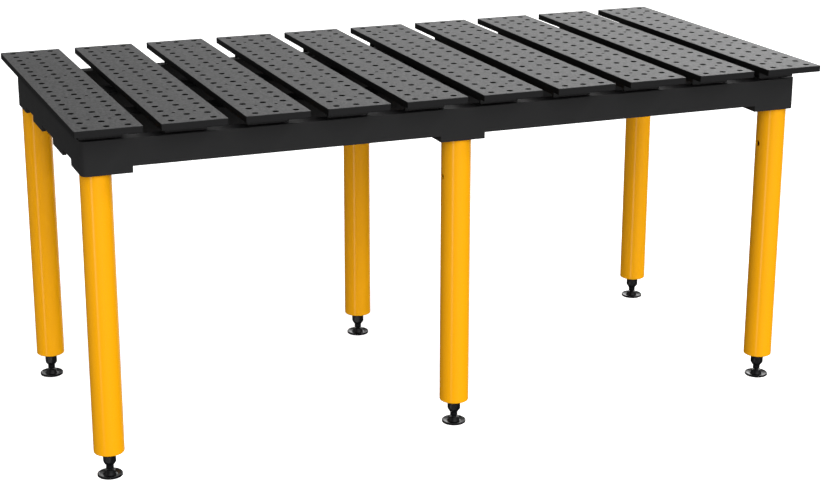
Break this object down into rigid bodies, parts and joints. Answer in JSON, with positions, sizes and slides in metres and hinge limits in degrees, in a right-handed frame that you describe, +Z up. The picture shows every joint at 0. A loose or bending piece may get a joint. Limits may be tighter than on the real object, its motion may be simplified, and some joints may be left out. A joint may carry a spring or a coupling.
{
  "type": "welding table",
  "caption": "Modular welding table: perforated slats with clamp slots between them on a low black frame, round yellow legs and screw-adjusted swivel feet.",
  "frame": {"origin": "on the floor, under the centre of the table top", "axes": "+X along the length to the right, +Y to the rear along the slats, +Z up"},
  "size_m": [1.9894, 0.9652, 0.905],
  "materials": {
    "slat_steel": "ground and black-oxided steel, satin",
    "frame_paint": "black powder coat, fine texture",
    "leg_paint": "orange-yellow powder coat, semi-gloss",
    "screw_steel": "black oxide socket screws",
    "foot_steel": "black oxide, slightly glossy",
    "foot_pad": "black enamelled steel pad",
    "foot_seat": "black nylon"
  },
  "bodies": {
    "table": {"slat_01": "slat_steel", "slat_ribs_01": "frame_paint", "slat_02": "slat_steel", "slat_ribs_02": "frame_paint", "slat_03": "slat_steel", "slat_ribs_03": "frame_paint", "slat_04": "slat_steel", "slat_ribs_04": "frame_paint", "slat_05": "slat_steel", "slat_ribs_05": "frame_paint", "slat_06": "slat_steel", "slat_ribs_06": "frame_paint", "slat_07": "slat_steel", "slat_ribs_07": "frame_paint", "slat_08": "slat_steel", "slat_ribs_08": "frame_paint", "slat_09": "slat_steel", "slat_ribs_09": "frame_paint", "slat_10": "slat_steel", "slat_ribs_10": "frame_paint", "levelling_screws": "screw_steel", "hold_down_screws": "screw_steel", "flange_bolts": "screw_steel", "front_beam": "frame_paint", "rear_beam": "frame_paint", "inner_beam_front": "frame_paint", "inner_beam_rear": "frame_paint", "end_plate_left": "frame_paint", "end_plate_right": "frame_paint", "centre_cross_members": "frame_paint", "corner_top_plates": "frame_paint", "leg_mount_plates": "frame_paint", "leg_gussets": "frame_paint", "leg_flanges": "frame_paint", "leg_inserts": "leg_paint", "lock_nuts": "foot_steel", "leg_front_left": "leg_paint", "leg_front_middle": "leg_paint", "leg_front_right": "leg_paint", "leg_rear_left": "leg_paint", "leg_rear_middle": "leg_paint", "leg_rear_right": "leg_paint"},
    "seat_front_left": {"foot_seat_front_left": "foot_seat"},
    "stud_front_left": {"foot_stud_front_left": "foot_steel"},
    "pad_front_left": {"foot_pad_front_left": "foot_pad"},
    "seat_front_middle": {"foot_seat_front_middle": "foot_seat"},
    "stud_front_middle": {"foot_stud_front_middle": "foot_steel"},
    "pad_front_middle": {"foot_pad_front_middle": "foot_pad"},
    "seat_front_right": {"foot_seat_front_right": "foot_seat"},
    "stud_front_right": {"foot_stud_front_right": "foot_steel"},
    "pad_front_right": {"foot_pad_front_right": "foot_pad"},
    "seat_rear_left": {"foot_seat_rear_left": "foot_seat"},
    "stud_rear_left": {"foot_stud_rear_left": "foot_steel"},
    "pad_rear_left": {"foot_pad_rear_left": "foot_pad"},
    "seat_rear_middle": {"foot_seat_rear_middle": "foot_seat"},
    "stud_rear_middle": {"foot_stud_rear_middle": "foot_steel"},
    "pad_rear_middle": {"foot_pad_rear_middle": "foot_pad"},
    "seat_rear_right": {"foot_seat_rear_right": "foot_seat"},
    "stud_rear_right": {"foot_stud_rear_right": "foot_steel"},
    "pad_rear_right": {"foot_pad_rear_right": "foot_pad"}
  },
  "joints": [
    {"name": "front_left_travel", "type": "slide", "parent": "table", "child": "seat_front_left", "axis": [0, 0, -1], "range_m": [0, 0.05]},
    {"name": "front_left_screw", "type": "hinge", "parent": "seat_front_left", "child": "stud_front_left", "pos_m": [-0.926, -0.367, 0.011], "axis": [0, 0, -1], "range_deg": [0, 7202]},
    {"name": "front_left_tilt", "type": "hinge", "parent": "seat_front_left", "child": "pad_front_left", "pos_m": [-0.926, -0.367, 0.011], "axis": [1, 0, 0], "range_deg": [-8, 8]},
    {"name": "front_middle_travel", "type": "slide", "parent": "table", "child": "seat_front_middle", "axis": [0, 0, -1], "range_m": [0, 0.05]},
    {"name": "front_middle_screw", "type": "hinge", "parent": "seat_front_middle", "child": "stud_front_middle", "pos_m": [-0.0035, -0.367, 0.011], "axis": [0, 0, -1], "range_deg": [0, 7202]},
    {"name": "front_middle_tilt", "type": "hinge", "parent": "seat_front_middle", "child": "pad_front_middle", "pos_m": [-0.0035, -0.367, 0.011], "axis": [1, 0, 0], "range_deg": [-8, 8]},
    {"name": "front_right_travel", "type": "slide", "parent": "table", "child": "seat_front_right", "axis": [0, 0, -1], "range_m": [0, 0.05]},
    {"name": "front_right_screw", "type": "hinge", "parent": "seat_front_right", "child": "stud_front_right", "pos_m": [0.926, -0.367, 0.011], "axis": [0, 0, -1], "range_deg": [0, 7202]},
    {"name": "front_right_tilt", "type": "hinge", "parent": "seat_front_right", "child": "pad_front_right", "pos_m": [0.926, -0.367, 0.011], "axis": [1, 0, 0], "range_deg": [-8, 8]},
    {"name": "rear_left_travel", "type": "slide", "parent": "table", "child": "seat_rear_left", "axis": [0, 0, -1], "range_m": [0, 0.05]},
    {"name": "rear_left_screw", "type": "hinge", "parent": "seat_rear_left", "child": "stud_rear_left", "pos_m": [-0.926, 0.367, 0.011], "axis": [0, 0, -1], "range_deg": [0, 7202]},
    {"name": "rear_left_tilt", "type": "hinge", "parent": "seat_rear_left", "child": "pad_rear_left", "pos_m": [-0.926, 0.367, 0.011], "axis": [1, 0, 0], "range_deg": [-8, 8]},
    {"name": "rear_middle_travel", "type": "slide", "parent": "table", "child": "seat_rear_middle", "axis": [0, 0, -1], "range_m": [0, 0.05]},
    {"name": "rear_middle_screw", "type": "hinge", "parent": "seat_rear_middle", "child": "stud_rear_middle", "pos_m": [-0.0035, 0.367, 0.011], "axis": [0, 0, -1], "range_deg": [0, 7202]},
    {"name": "rear_middle_tilt", "type": "hinge", "parent": "seat_rear_middle", "child": "pad_rear_middle", "pos_m": [-0.0035, 0.367, 0.011], "axis": [1, 0, 0], "range_deg": [-8, 8]},
    {"name": "rear_right_travel", "type": "slide", "parent": "table", "child": "seat_rear_right", "axis": [0, 0, -1], "range_m": [0, 0.05]},
    {"name": "rear_right_screw", "type": "hinge", "parent": "seat_rear_right", "child": "stud_rear_right", "pos_m": [0.926, 0.367, 0.011], "axis": [0, 0, -1], "range_deg": [0, 7202]},
    {"name": "rear_right_tilt", "type": "hinge", "parent": "seat_rear_right", "child": "pad_rear_right", "pos_m": [0.926, 0.367, 0.011], "axis": [1, 0, 0], "range_deg": [-8, 8]}
  ],
  "couplings": [
    {"joint": "front_left_screw", "follows": "front_left_travel", "rad_per_m": 2513.3},
    {"joint": "front_middle_screw", "follows": "front_middle_travel", "rad_per_m": 2513.3},
    {"joint": "front_right_screw", "follows": "front_right_travel", "rad_per_m": 2513.3},
    {"joint": "rear_left_screw", "follows": "rear_left_travel", "rad_per_m": 2513.3},
    {"joint": "rear_middle_screw", "follows": "rear_middle_travel", "rad_per_m": 2513.3},
    {"joint": "rear_right_screw", "follows": "rear_right_travel", "rad_per_m": 2513.3}
  ]
}
